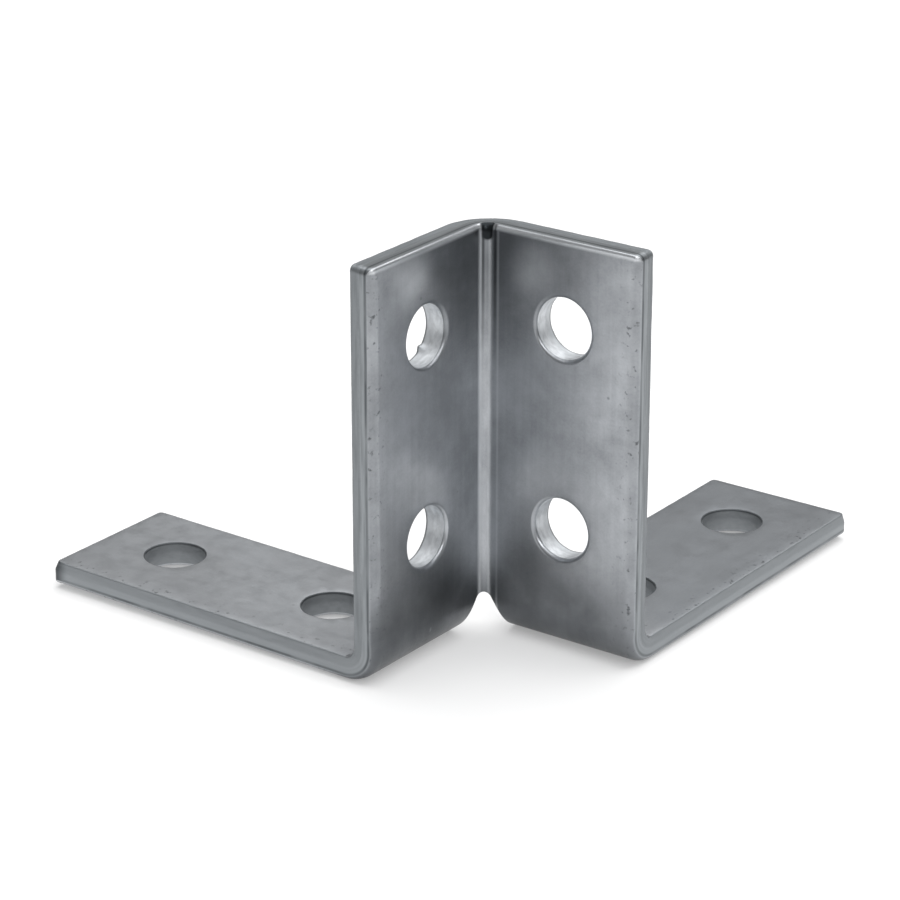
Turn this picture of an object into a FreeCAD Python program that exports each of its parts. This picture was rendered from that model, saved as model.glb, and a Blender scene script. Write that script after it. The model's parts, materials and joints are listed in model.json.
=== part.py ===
"""Wing corner bracket: one steel plate, punched flat and folded into two uprights and two feet.

The two uprights stand at right angles and hold the corner of a post between them. A foot folds
out from the base of each upright, away from the post. The bracket is its own mirror image about
the upright plane that halves the post's corner, so one half is modelled and then mirrored.

Lengths are in millimetres and +Z is up. The half is drawn about the corner where the two faces
that meet the post would cross: those faces lie in the planes x = 0 and y = 0, and the underside of
the feet lies in z = 0. The finished body is then moved so that the origin is the centre of its
footprint.
"""
import FreeCAD, Part
import math
import os

import Sketcher

# Driving sizes: name, value, and what it measures.
SIZES = (
    ("thickness", 6.0, "plate thickness"),
    ("wing_width", 41.0, "post corner to the free edge of an upright and its foot"),
    ("upright_height", 98.4, "underside of the feet to the top of the uprights"),
    ("foot_reach", 96.4, "face against the post to the end of a foot, at its underside"),
    ("end_lean", 0.9, "how far the sheared end of a foot draws in, from its underside to its top"),
    ("bend_radius", 2.5, "inside radius of all three folds"),
    ("corner_easing", 4.0, "how far the corner's outside radius passes inside radius and thickness"),
    ("neutral_share", 0.4, "depth of a fold's neutral layer, as a share of the thickness"),
    ("hole_diameter", 14.3, "bolt hole"),
    ("hole_pitch", 47.6, "centre to centre of the two holes in a leaf"),
    ("upright_end_distance", 20.6, "upper hole's centre to the top of its upright"),
    ("foot_end_distance", 21.3, "outer hole's centre to the end of its foot, at the underside"),
    ("hole_line_inset", 20.8, "post corner to the line of the holes"),
    ("relief_clearance", 1.9, "how far the relief's radius passes half the corner's fold"),
    ("corner_radius", 0.5, "corner of a leaf, measured inside the rolled edge"),
    ("edge_rounding", 1.2, "punched outline, rolled over on the side of the post"),
    ("rim_chamfer", 0.7, "hole rims, drawn in by the punch on the side of the post"),
)

# Lengths that follow from the driving sizes, as expressions of the sheet.
OUTER_RADIUS = "(Sizes.bend_radius + Sizes.thickness)"
EASED_RADIUS = f"({OUTER_RADIUS} + Sizes.corner_easing)"
NEUTRAL_RADIUS = "(Sizes.bend_radius + Sizes.neutral_share * Sizes.thickness)"
FOLD_LENGTH = f"({NEUTRAL_RADIUS} * pi / 2)"
HALF_FOLD = f"({NEUTRAL_RADIUS} * pi / 4)"
# A round relief is punched where the three folds would meet.
RELIEF_RADIUS = f"({HALF_FOLD} + Sizes.relief_clearance)"
# The relief's centre lies this far down the blank from the start of a foot's fold. Its circle
# then passes through both points where the corner's bend lines meet those of the feet.
RELIEF_DROP = f"sqrt({RELIEF_RADIUS} ^ 2 - {HALF_FOLD} ^ 2)"

# How far the tools that cut the relief stand proud of the plate.
TOOL_MARGIN = 1.0
# Sections along each of the relief's two tools.
CORNER_SECTIONS = 7
WING_SECTIONS = 11
# Half the corner's fold, and how far the corner's tool runs past the mirror plane, in degrees.
CORNER_HALF_ANGLE = 45.0
PAST_MIRROR = 15.0
# Points closer than this are taken as one.
NEAR = 1e-4
# Every cut and every rounding takes away at least this volume, in cubic millimetres.
LEAST_CUT = 1.0

FACING_UP = FreeCAD.Vector(0, 0, 1)

doc = FreeCAD.newDocument("WingCornerBracket")


def make_sheet():
    """The spreadsheet that holds the driving sizes."""
    sheet = doc.addObject("Spreadsheet::Sheet", "Sizes")
    for row, (alias, value, note) in enumerate(SIZES, start=1):
        sheet.set(f"A{row}", note)
        sheet.set(f"B{row}", str(value))
        sheet.setAlias(f"B{row}", alias)
    doc.recompute()
    return sheet


def new_sketch(body, name, role):
    """An empty sketch on the body's own origin plane with this role."""
    sketch = body.newObject("Sketcher::SketchObject", name)
    plane = next(item for item in body.Origin.OriginFeatures if item.Role == role)
    sketch.AttachmentSupport = [(plane, "")]
    sketch.MapMode = "FlatFace"
    return sketch


def point(x, y):
    """A point in a sketch."""
    return FreeCAD.Vector(x, y, 0)


def relate(sketch, kind, *places):
    """Adds a geometric constraint."""
    sketch.addConstraint(Sketcher.Constraint(kind, *places))


def bind(sketch, kind, places, start, expression):
    """Adds a dimension that follows an expression of the sheet, from a rough starting value."""
    index = sketch.addConstraint(Sketcher.Constraint(kind, *places, start))
    sketch.setExpression(f"Constraints[{index}]", expression)


def rectangle(sketch, low_x, high_x, low_y, high_y):
    """Draws a rectangle whose four sides follow expressions, each measured from the origin."""
    corners = (point(1, 1), point(2, 1), point(2, 2), point(1, 2))
    for first, second in zip(corners, corners[1:] + corners[:1]):
        sketch.addGeometry(Part.LineSegment(first, second))
    for side, direction in enumerate(("Horizontal", "Vertical", "Horizontal", "Vertical")):
        relate(sketch, "Coincident", side, 2, (side + 1) % 4, 1)
        relate(sketch, direction, side)
    bind(sketch, "DistanceX", (-1, 1, 0, 1), 1.0, low_x)
    bind(sketch, "DistanceX", (-1, 1, 1, 1), 2.0, high_x)
    bind(sketch, "DistanceY", (-1, 1, 0, 1), 1.0, low_y)
    bind(sketch, "DistanceY", (-1, 1, 2, 1), 2.0, high_y)


def add_corner(body):
    """Half of the corner's fold, from the bend line of one upright to the mirror plane."""
    sketch = new_sketch(body, "CornerSection", "XZ_Plane")
    sketch.setExpression("AttachmentOffset.Base.z", "Sizes.bend_radius")
    rectangle(sketch, "-Sizes.thickness", "0", "0", "Sizes.upright_height")
    axis = sketch.addGeometry(Part.LineSegment(point(3, 1), point(3, 9)), True)
    relate(sketch, "Vertical", axis)
    relate(sketch, "PointOnObject", axis, 1, -1)
    bind(sketch, "DistanceX", (-1, 1, axis, 1), 3.0, "Sizes.bend_radius")
    bind(sketch, "DistanceY", (axis, 1, axis, 2), 8.0, "Sizes.upright_height")
    fold = body.newObject("PartDesign::Revolution", "CornerFold")
    fold.Profile = sketch
    fold.ReferenceAxis = (sketch, ["Axis0"])
    fold.Angle = CORNER_HALF_ANGLE
    fold.Reversed = True


def add_wing(body):
    """An upright and its foot, drawn from the side: two flat leaves joined by the foot's fold.

    The end of the foot is sheared, so it leans in a little towards the foot's top.
    """
    sketch = new_sketch(body, "WingProfile", "XZ_Plane")
    sketch.setExpression("AttachmentOffset.Base.z", "Sizes.bend_radius")
    # Rough coordinates to start from. The constraints below give the true ones.
    thick, high, reach, top_reach, outer, inner = 6.0, 98.0, 96.0, 95.0, 8.5, 2.5
    centre = point(-outer, outer)
    turn = (-math.pi / 2, 0.0)
    lines = (
        (point(0, outer), point(0, high)),
        (point(0, high), point(-thick, high)),
        (point(-thick, high), point(-thick, outer)),
        (point(-outer, thick), point(-top_reach, thick)),
        (point(-top_reach, thick), point(-reach, 0)),
        (point(-reach, 0), point(-outer, 0)),
    )
    post_face, top, back, upper, end, under = (
        sketch.addGeometry(Part.LineSegment(*ends)) for ends in lines
    )
    inside = sketch.addGeometry(Part.ArcOfCircle(Part.Circle(centre, FACING_UP, inner), *turn))
    outside = sketch.addGeometry(Part.ArcOfCircle(Part.Circle(centre, FACING_UP, outer), *turn))
    for first, second in ((post_face, top), (top, back), (upper, end), (end, under)):
        relate(sketch, "Coincident", first, 2, second, 1)
    relate(sketch, "Tangent", back, 2, inside, 2)
    relate(sketch, "Tangent", inside, 1, upper, 1)
    relate(sketch, "Tangent", under, 2, outside, 1)
    relate(sketch, "Tangent", outside, 2, post_face, 1)
    relate(sketch, "Coincident", inside, 3, outside, 3)
    relate(sketch, "Vertical", post_face)
    for side in (top, under):
        relate(sketch, "Horizontal", side)
    relate(sketch, "PointOnObject", post_face, 2, -2)
    relate(sketch, "PointOnObject", end, 2, -1)
    bind(sketch, "Radius", (inside,), inner, "Sizes.bend_radius")
    bind(sketch, "DistanceX", (top, 2, top, 1), thick, "Sizes.thickness")
    bind(sketch, "DistanceY", (-1, 1, top, 1), high, "Sizes.upright_height")
    bind(sketch, "DistanceX", (end, 2, -1, 1), reach, "Sizes.foot_reach")
    bind(sketch, "DistanceX", (end, 2, end, 1), reach - top_reach, "Sizes.end_lean")
    wing = body.newObject("PartDesign::Pad", "Wing")
    wing.Profile = sketch
    wing.setExpression("Length", "Sizes.wing_width - Sizes.bend_radius")


def ease_corner(body):
    """Rounds off the back of the corner, where folding has thinned the plate.

    The outside of the fold is a larger arc than its inside, and it runs out into the backs of
    both uprights. Below the start of the feet's folds the plate keeps its thickness.
    """
    sketch = new_sketch(body, "CornerBack", "XY_Plane")
    sketch.setExpression("AttachmentOffset.Base.z", OUTER_RADIUS)
    # Rough coordinates to start from, as in the side profile.
    radius, thick, clear = 12.5, 6.0, 7.0
    inset = radius - thick
    centre = point(inset, -inset)
    arc = sketch.addGeometry(
        Part.ArcOfCircle(Part.Circle(centre, FACING_UP, radius), math.pi / 2, math.pi)
    )
    corners = (
        point(-thick, -inset),
        point(-clear, -inset),
        point(-clear, clear),
        point(inset, clear),
        point(inset, thick),
    )
    lines = [sketch.addGeometry(Part.LineSegment(*ends)) for ends in zip(corners, corners[1:])]
    relate(sketch, "Coincident", arc, 2, lines[0], 1)
    for first, second in zip(lines, lines[1:]):
        relate(sketch, "Coincident", first, 2, second, 1)
    relate(sketch, "Coincident", lines[3], 2, arc, 1)
    relate(sketch, "Horizontal", lines[0])
    relate(sketch, "Horizontal", lines[2])
    relate(sketch, "Vertical", lines[1])
    relate(sketch, "Vertical", lines[3])
    relate(sketch, "Horizontal", arc, 2, arc, 3)
    relate(sketch, "Vertical", arc, 1, arc, 3)
    relate(sketch, "Equal", lines[0], lines[3])
    bind(sketch, "Radius", (arc,), radius, EASED_RADIUS)
    bind(sketch, "DistanceX", (arc, 2, -1, 1), thick, "Sizes.thickness")
    bind(sketch, "DistanceY", (-1, 1, arc, 1), thick, "Sizes.thickness")
    bind(sketch, "DistanceX", (lines[0], 2, lines[0], 1), clear - thick, str(TOOL_MARGIN))
    pocket = body.newObject("PartDesign::Pocket", "EasedCorner")
    pocket.Profile = sketch
    pocket.Type = "ThroughAll"
    pocket.Reversed = True


def cut_corner_relief(body):
    """The relief's edge across the corner's fold.

    The relief is a round hole in the flat blank. Folding the corner wraps it round the bend's
    axis, so each section here lies in a plane through that axis and reaches up to the circle's
    height at that turn of the fold.
    """
    sections = []
    for index in range(CORNER_SECTIONS):
        share = index / (CORNER_SECTIONS - 1)
        angle = share * (CORNER_HALF_ANGLE + PAST_MIRROR)
        across = f"({NEUTRAL_RADIUS} * pi / 180 * {CORNER_HALF_ANGLE - angle:g})"
        height = f"{OUTER_RADIUS} - {RELIEF_DROP} + sqrt({RELIEF_RADIUS} ^ 2 - {across} ^ 2)"
        sketch = new_sketch(body, f"CornerReliefSection{index}", "XZ_Plane")
        sketch.AttachmentOffset = FreeCAD.Placement(
            FreeCAD.Vector(0, 0, 0), FreeCAD.Rotation(FreeCAD.Vector(0, 1, 0), -angle)
        )
        sketch.setExpression("AttachmentOffset.Base.x", "Sizes.bend_radius")
        sketch.setExpression("AttachmentOffset.Base.z", "Sizes.bend_radius")
        rectangle(
            sketch,
            f"-{OUTER_RADIUS} - {TOOL_MARGIN}",
            "-Sizes.bend_radius / 2",
            f"-{TOOL_MARGIN}",
            height,
        )
        sections.append(sketch)
    cut_loft(body, "CornerRelief", sections)


def cut_wing_relief(body):
    """The relief's edge in the foot's fold, outside the corner's bend line.

    Each section crosses the plate square to its faces, and the sections follow the blank down
    through the fold, from where the circle leaves the bend line to where it comes back to it.
    Folding leaves their widths as they were in the flat.
    """
    start = f"asin({HALF_FOLD} / {RELIEF_RADIUS})"
    sections = []
    for index in range(WING_SECTIONS):
        share = index / (WING_SECTIONS - 1)
        angle = f"({start} + (180 deg - 2 * {start}) * {share:g})"
        down = f"({RELIEF_DROP} - {RELIEF_RADIUS} * cos({angle}))"
        width = f"({RELIEF_RADIUS} * sin({angle}) - {HALF_FOLD} + Sizes.bend_radius)"
        sketch = new_sketch(body, f"WingReliefSection{index}", "XY_Plane")
        sketch.AttachmentOffset = FreeCAD.Placement(
            FreeCAD.Vector(0, 0, 0), FreeCAD.Rotation(FreeCAD.Vector(0, 1, 0), 1.0)
        )
        past_fold = f"max(0; {down} - {FOLD_LENGTH})"
        sketch.setExpression("AttachmentOffset.Base.x", f"-{OUTER_RADIUS} - {past_fold}")
        sketch.setExpression("AttachmentOffset.Base.z", OUTER_RADIUS)
        turn = f"min(90; max(0; {down} / {NEUTRAL_RADIUS} * 180 / pi))"
        sketch.setExpression("AttachmentOffset.Rotation.Angle", turn)
        rectangle(
            sketch,
            "Sizes.bend_radius / 2",
            f"{OUTER_RADIUS} + {TOOL_MARGIN}",
            f"-{width}",
            str(TOOL_MARGIN),
        )
        sections.append(sketch)
    cut_loft(body, "WingRelief", sections)


def cut_loft(body, name, sections):
    """Cuts away the smooth solid that passes through the sections."""
    loft = body.newObject("PartDesign::SubtractiveLoft", name)
    loft.Profile = sections[0]
    loft.Sections = sections[1:]


def cut_holes(body, name, role, centres):
    """Two bolt holes through a leaf, each centre two expressions measured from the origin."""
    sketch = new_sketch(body, f"{name}Centres", role)
    for index, (x_place, y_place) in enumerate(centres):
        sketch.addGeometry(Part.Circle(point(-20, 20 * index), FACING_UP, 7.0))
        bind(sketch, "Diameter", (index,), 14.0, "Sizes.hole_diameter")
        bind(sketch, "DistanceX", (-1, 1, index, 3), -20.0, x_place)
        bind(sketch, "DistanceY", (-1, 1, index, 3), 20.0 * index, y_place)
    pocket = body.newObject("PartDesign::Pocket", name)
    pocket.Profile = sketch
    pocket.Type = "ThroughAll"
    pocket.Midplane = True


def edges_where(shape, test):
    """The names of the shape's edges whose two ends and middle all pass a test."""
    names = []
    for index, edge in enumerate(shape.Edges, start=1):
        first, last = edge.ParameterRange
        places = [edge.valueAt(first + (last - first) * share) for share in (0.0, 0.5, 1.0)]
        if all(test(place) for place in places):
            names.append(f"Edge{index}")
    return names


def dress_edges(body, kind, name, test, size, expression):
    """Rounds or chamfers the edges that pass a test. The named size follows an expression."""
    doc.recompute()
    base = body.Tip
    feature = body.newObject(f"PartDesign::{kind}", name)
    feature.Base = (base, edges_where(base.Shape, test))
    feature.setExpression(size, expression)
    doc.recompute()


def finish_edges(body, sheet):
    """Rounds the corners of the leaves, then the edges that punching draws in."""

    def on_leaf_corner(place):
        at_top = abs(place.z - sheet.upright_height) < NEAR
        end_there = sheet.end_lean * place.z / sheet.thickness - sheet.foot_reach
        at_foot_end = abs(place.x - end_there) < NEAR
        at_free_side = abs(place.y + sheet.wing_width) < NEAR
        at_slot = abs(place.y + sheet.bend_radius) < NEAR
        return (at_top and at_free_side) or (at_foot_end and (at_free_side or at_slot))

    def on_free_edge(place):
        return abs(place.y + sheet.wing_width) < NEAR and abs(place.x) < NEAR

    def on_hole_rim(place):
        on_post_side = abs(place.x) < NEAR or abs(place.z) < NEAR
        from_hole_line = abs(place.y + sheet.hole_line_inset)
        return on_post_side and from_hole_line < sheet.hole_diameter / 2 + NEAR

    leaf_radius = "Sizes.corner_radius + Sizes.edge_rounding"
    dress_edges(body, "Fillet", "LeafCorners", on_leaf_corner, "Radius", leaf_radius)
    dress_edges(body, "Fillet", "RolledOutline", on_free_edge, "Radius", "Sizes.edge_rounding")
    dress_edges(body, "Chamfer", "DrawnRims", on_hole_rim, "Size", "Sizes.rim_chamfer")


def mirror_half(body):
    """Mirrors the half about the upright plane that halves the post's corner."""
    sketch = new_sketch(body, "MirrorLine", "XY_Plane")
    line = sketch.addGeometry(Part.LineSegment(point(0, 0), point(-9, 9)), True)
    relate(sketch, "Coincident", line, 1, -1, 1)
    bind(sketch, "DistanceX", (line, 2, -1, 1), 9.0, "Sizes.wing_width")
    bind(sketch, "DistanceY", (-1, 1, line, 2), 9.0, "Sizes.wing_width")
    mirrored = body.newObject("PartDesign::Mirrored", "BothHalves")
    mirrored.TransformMode = "Whole shape"
    mirrored.MirrorPlane = (sketch, ["Axis0"])
    body.Tip = mirrored


def check(body):
    """Stops if a feature failed, if one that should cut took nothing away, or if the body broke."""
    for item in doc.Objects:
        if {"Invalid", "Error"} & set(item.State):
            raise RuntimeError(f"{item.Label} failed")
    cutting = ("Pocket", "SubtractiveLoft", "Fillet", "Chamfer")
    for feature in body.Group:
        if feature.TypeId.removeprefix("PartDesign::") in cutting:
            taken = feature.BaseFeature.Shape.Volume - feature.Shape.Volume
            if taken < LEAST_CUT:
                raise RuntimeError(f"{feature.Label} took away {taken:.3f} mm3")
    shape = body.Shape
    if shape.isNull() or not shape.isValid() or len(shape.Solids) != 1:
        raise RuntimeError(f"{body.Label} isn't one valid solid")


def main():
    """Builds the bracket and writes it to a STEP file."""
    sheet = make_sheet()
    body = doc.addObject("PartDesign::Body", "Bracket")
    body.Label = "wing_bracket"
    body.setExpression("Placement.Base.x", "(Sizes.foot_reach - Sizes.wing_width) / 2")
    body.setExpression("Placement.Base.y", "(Sizes.wing_width - Sizes.foot_reach) / 2")
    add_corner(body)
    add_wing(body)
    ease_corner(body)
    cut_corner_relief(body)
    cut_wing_relief(body)
    inset = "-Sizes.hole_line_inset"
    highest = "Sizes.upright_height - Sizes.upright_end_distance"
    furthest = "Sizes.foot_end_distance - Sizes.foot_reach"
    upright_centres = [(inset, highest), (inset, f"{highest} - Sizes.hole_pitch")]
    foot_centres = [(furthest, inset), (f"{furthest} + Sizes.hole_pitch", inset)]
    cut_holes(body, "UprightHoles", "YZ_Plane", upright_centres)
    cut_holes(body, "FootHoles", "XY_Plane", foot_centres)
    finish_edges(body, sheet)
    mirror_half(body)
    doc.recompute()
    check(body)
    os.makedirs("parts", exist_ok=True)
    body.Shape.exportStep(f"parts/{body.Label}.step")
    print(f"{body.Label}: {body.Shape.Volume:.0f} mm3 in {len(body.Shape.Faces)} faces")


main()
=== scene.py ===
"""Wing corner bracket: one steel plate, punched flat, folded three ways and electro-zinc plated.

The plate is worked out in the flat, in blank coordinates: u across from the line that halves the
post's corner, v down from the start of the feet's folds, and d from the face against the post and
the ground to the face under the bolt heads. One function then folds every point of it.
"""
import json
import logging
import math
from collections.abc import Sequence
from dataclasses import dataclass, field
from enum import Enum
from functools import reduce

import bpy
import numpy as np
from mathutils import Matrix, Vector, geometry


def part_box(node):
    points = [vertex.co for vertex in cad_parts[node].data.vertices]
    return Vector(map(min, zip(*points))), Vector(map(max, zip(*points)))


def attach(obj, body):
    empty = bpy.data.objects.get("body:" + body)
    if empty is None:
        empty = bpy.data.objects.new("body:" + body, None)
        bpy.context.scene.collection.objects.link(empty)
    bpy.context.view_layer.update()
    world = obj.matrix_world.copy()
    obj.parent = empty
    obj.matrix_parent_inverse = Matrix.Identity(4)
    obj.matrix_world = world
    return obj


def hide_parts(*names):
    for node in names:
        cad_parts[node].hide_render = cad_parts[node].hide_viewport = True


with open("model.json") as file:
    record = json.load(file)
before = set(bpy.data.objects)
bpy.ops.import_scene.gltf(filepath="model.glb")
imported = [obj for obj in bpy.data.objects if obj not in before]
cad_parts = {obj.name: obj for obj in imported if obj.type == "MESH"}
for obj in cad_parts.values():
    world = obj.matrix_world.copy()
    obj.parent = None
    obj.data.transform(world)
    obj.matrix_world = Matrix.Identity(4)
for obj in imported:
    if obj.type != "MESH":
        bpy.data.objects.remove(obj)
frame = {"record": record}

LOG = logging.getLogger("wing_corner_bracket")
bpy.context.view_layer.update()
# The mesh is worked out in millimetres and written in metres.
MM = 0.001
# Number of places at which a line's step is summed up.
FINE_COUNT = 4001
Array = np.ndarray
Socket = bpy.types.NodeSocket

# Settings of the nodes.
SUBTRACT, ABSOLUTE = {"operation": "SUBTRACT"}, {"operation": "ABSOLUTE"}
MULTIPLY, MAXIMUM = {"operation": "MULTIPLY"}, {"operation": "MAXIMUM"}
ADD_CLAMPED = {"operation": "ADD", "use_clamp": True}
SMOOTH = {"interpolation_type": "SMOOTHSTEP"}
COLOURS = {"data_type": "RGBA"}


class Surface(Enum):
    """The kinds of surface on the plate, by the material slot that each takes."""

    ROLLED_FACE = 0
    PUNCHED_EDGE = 1
    PUNCHED_BORE = 2


def linear(colour: str) -> tuple[float, float, float, float]:
    """Turn an sRGB colour into the linear values that Blender's sockets take.

    Args:
        colour: six hex digits after a hash sign.

    Returns:
        Linear red, green and blue, and an alpha of 1.
    """
    srgb = np.array([int(colour[i : i + 2], 16) for i in (1, 3, 5)]) / 255
    values = np.where(srgb <= 0.04045, srgb / 12.92, ((srgb + 0.055) / 1.055) ** 2.4)
    return (*values.tolist(), 1.0)


def per_size(size_mm: float) -> float:
    """Scale of a noise whose features are about this many millimetres across."""
    return 1 / (size_mm * MM)


def add_node(
    tree: bpy.types.NodeTree, kind: str, sockets: dict | tuple, settings: dict | None = None
) -> Sequence[Socket]:
    """Add a node with its settings, socket values and incoming links.

    Args:
        tree: node tree that gets the node.
        kind: Blender's name for the kind of node, after "ShaderNode".
        sockets: inputs by name or number, or in their order, each with the value that it holds or
            the output that feeds it.
        settings: properties of the node itself, by name.

    Returns:
        The node's outputs.
    """
    node = tree.nodes.new(f"ShaderNode{kind}")
    for name, value in (settings or {}).items():
        setattr(node, name, value)
    for name, value in sockets.items() if isinstance(sockets, dict) else enumerate(sockets):
        if isinstance(value, Socket):
            tree.links.new(value, node.inputs[name])
        else:
            node.inputs[name].default_value = value
    return node.outputs


def empty_material(name: str) -> tuple[bpy.types.Material, bpy.types.NodeTree]:
    """Make a material with an empty node tree.

    Args:
        name: what the finish is.

    Returns:
        The material and its node tree.
    """
    material = bpy.data.materials.new(name)
    material.use_nodes = True
    material.node_tree.nodes.clear()
    return material, material.node_tree


def graded(
    low: float,
    high: float,
    fine: tuple[float, float],
    steps: tuple[float, float],
    growth: float = 3.0,
) -> Array:
    """Stations along a line, closer together where the plate is folded.

    The step is the fine one inside the fine stretch and grows to the coarse one on either side.
    The stations lie at even shares of the running total of one over the step.

    Args:
        low: first station.
        high: last station.
        fine: start and end of the fine stretch.
        steps: fine step and coarse step.
        growth: distance over which the step grows.

    Returns:
        Stations from low to high.
    """
    line = np.linspace(low, high, FINE_COUNT)
    away = np.maximum(np.maximum(fine[0] - line, line - fine[1]), 0)
    step = steps[0] + (steps[1] - steps[0]) * np.clip(away / growth, 0, 1)
    total = np.concatenate([[0], np.cumsum(np.diff(line) / ((step[1:] + step[:-1]) / 2))])
    count = max(int(np.ceil(total[-1])), 1)
    return np.interp(np.linspace(0, total[-1], count + 1), total, line)


def arc(centre: tuple[float, float], radius: float, start: float, stop: float, count: int) -> Array:
    """Points on a circular arc, centre + radius (cos t, sin t) for t from start to stop.

    Args:
        centre: centre of the arc.
        radius: its radius.
        start: first angle in degrees.
        stop: last angle in degrees.
        count: number of points.

    Returns:
        The points, one a row.
    """
    t = np.radians(np.linspace(start, stop, count))
    return np.stack([centre[0] + radius * np.cos(t), centre[1] + radius * np.sin(t)], axis=1)


def wander(rng: np.random.Generator, count: int, reach: float) -> Array:
    """A closed wandering line: white noise smoothed by a bell curve that wraps round its ends.

    Args:
        rng: seeded source of the noise.
        count: number of values.
        reach: width of the bell curve, in values.

    Returns:
        Values with a mean of 0 and a spread of 1.
    """
    k = np.fft.rfftfreq(count) * reach * 2 * np.pi
    values = np.fft.irfft(np.fft.rfft(rng.standard_normal(count)) * np.exp(-0.5 * k**2), count)
    values = values - values.mean()
    return values / max(values.std(), 1e-9)


def outward(path: Array) -> Array:
    """Normals of a closed path, to the right of the way from each point's last to its next.

    Args:
        path: points (u, v), with the plate on the left.

    Returns:
        Unit normals that point out of the plate.
    """
    along = np.roll(path, -1, axis=0) - np.roll(path, 1, axis=0)
    along = along / np.linalg.norm(along, axis=1, keepdims=True)
    return np.stack([along[:, 1], -along[:, 0]], axis=1)


def inside(points: Array, ring: Array) -> Array:
    """Tell which points lie inside a closed ring: those whose line to the right crosses it oddly.

    Args:
        points: points (u, v), one a row.
        ring: corners (u, v) of the ring, in order.

    Returns:
        True for each point inside.
    """
    a, b = ring[None], np.roll(ring, -1, axis=0)[None]
    x, y = points[:, 0, None], points[:, 1, None]
    rises = (a[..., 1] > y) != (b[..., 1] > y)
    with np.errstate(divide="ignore", invalid="ignore"):
        cut = a[..., 0] + (y - a[..., 1]) * (b[..., 0] - a[..., 0]) / (b[..., 1] - a[..., 1])
    return (rises & (x < cut)).sum(axis=1) % 2 == 1


@dataclass(frozen=True)
class PlateSizes:
    """Sizes of the folded plate in millimetres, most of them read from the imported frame."""

    # Distance from the row frame's Z axis to the faces against the post, along X and -Y.
    shift: float
    thickness: float
    width: float
    height: float
    reach: float
    hole_line: float
    hole_radius: float
    upright_holes: tuple[float, float]
    foot_holes: tuple[float, float]
    # Inside radius of the folds, how much larger the radius of the corner's eased back is, and
    # the share of the thickness at which the plate keeps its length in a fold.
    inner_radius: float = 2.5
    easing: float = 4.0
    neutral_share: float = 0.4
    # What the relief's radius has past half the corner's fold, and the rounding of the wings'
    # corners and of the relief's mouth.
    relief_clearance: float = 1.9
    leaf_corner: float = 1.7
    relief_corner: float = 0.6
    # How far the tear leans in at the feet's ends, and how far they stay inside the box.
    end_lean: float = 0.9
    box_margin: float = 0.1
    # How far the relief's centre sits below the point that its radius gives.
    relief_drop: float = 0.35
    # How far the holes of the left and the right upright sit past their stated line.
    hole_drift: tuple[float, float] = (0.25, 0.5)

    @classmethod
    def from_frame(cls, record: dict, low: Vector, high: Vector) -> "PlateSizes":
        """Read the sizes from the mounts of the record and the box of the node.

        Args:
            record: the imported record.
            low: lowest corner of the node.
            high: highest corner of the node.

        Returns:
            The sizes of the plate.
        """
        mounts = {m["name"]: m for m in record["mounts"]}
        upright = np.array(mounts["left_upright_holes"]["pos_m"]) / MM
        foot = np.array(mounts["left_foot_holes"]["pos_m"]) / MM
        shift = mounts["left_post_face"]["pos_m"][0] / MM
        upright_dims = mounts["left_upright_holes"]["dims"]
        foot_dims = mounts["left_foot_holes"]["dims"]
        half_rise = upright_dims["spacing_y_mm"] / 2
        half_run = foot_dims["spacing_x_mm"] / 2
        return cls(
            shift=shift,
            thickness=shift - upright[0],
            width=high.x / MM - shift,
            height=high.z / MM,
            reach=shift - low.x / MM,
            hole_line=-(upright[1] + shift),
            hole_radius=upright_dims["hole_r_mm"],
            upright_holes=(upright[2] + half_rise, upright[2] - half_rise),
            foot_holes=(shift - foot[0] - half_run, shift - foot[0] + half_run),
        )

    @property
    def outer_radius(self) -> float:
        """Outside radius of a foot's fold."""
        return self.inner_radius + self.thickness

    @property
    def neutral(self) -> float:
        """Radius of the layer that keeps its length in a fold."""
        return self.inner_radius + self.neutral_share * self.thickness

    @property
    def fold(self) -> float:
        """Length of a quarter turn in the flat."""
        return self.neutral * math.pi / 2

    @property
    def half(self) -> float:
        """Half the length of the corner's fold in the flat."""
        return self.fold / 2

    @property
    def side(self) -> float:
        """Distance u of a wing's free edge."""
        return self.half + self.width - self.inner_radius

    @property
    def top(self) -> float:
        """Place v of the uprights' top edge."""
        return self.outer_radius - self.height

    @property
    def end(self) -> float:
        """Place v of the feet's ends, a hair inside the CAD model's box."""
        return self.fold + self.reach - self.outer_radius - self.box_margin

    @property
    def relief(self) -> tuple[float, float]:
        """Radius of the round relief, and the place v of its centre."""
        radius = self.half + self.relief_clearance
        return radius, math.sqrt(radius**2 - self.half**2) + self.relief_drop

    @property
    def holes(self) -> list[tuple[float, float]]:
        """Centres (u, v) of the eight bolt holes."""
        across = self.half + self.hole_line - self.inner_radius
        upright = [self.outer_radius - z for z in self.upright_holes]
        foot = [self.fold + x - self.outer_radius for x in self.foot_holes]
        sides = ((-1, self.hole_drift[0]), (1, self.hole_drift[1]))
        return [
            (side * (across + shift), v)
            for side, drift in sides
            for shift, drops in ((drift, upright), (0.0, foot))
            for v in drops
        ]


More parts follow.
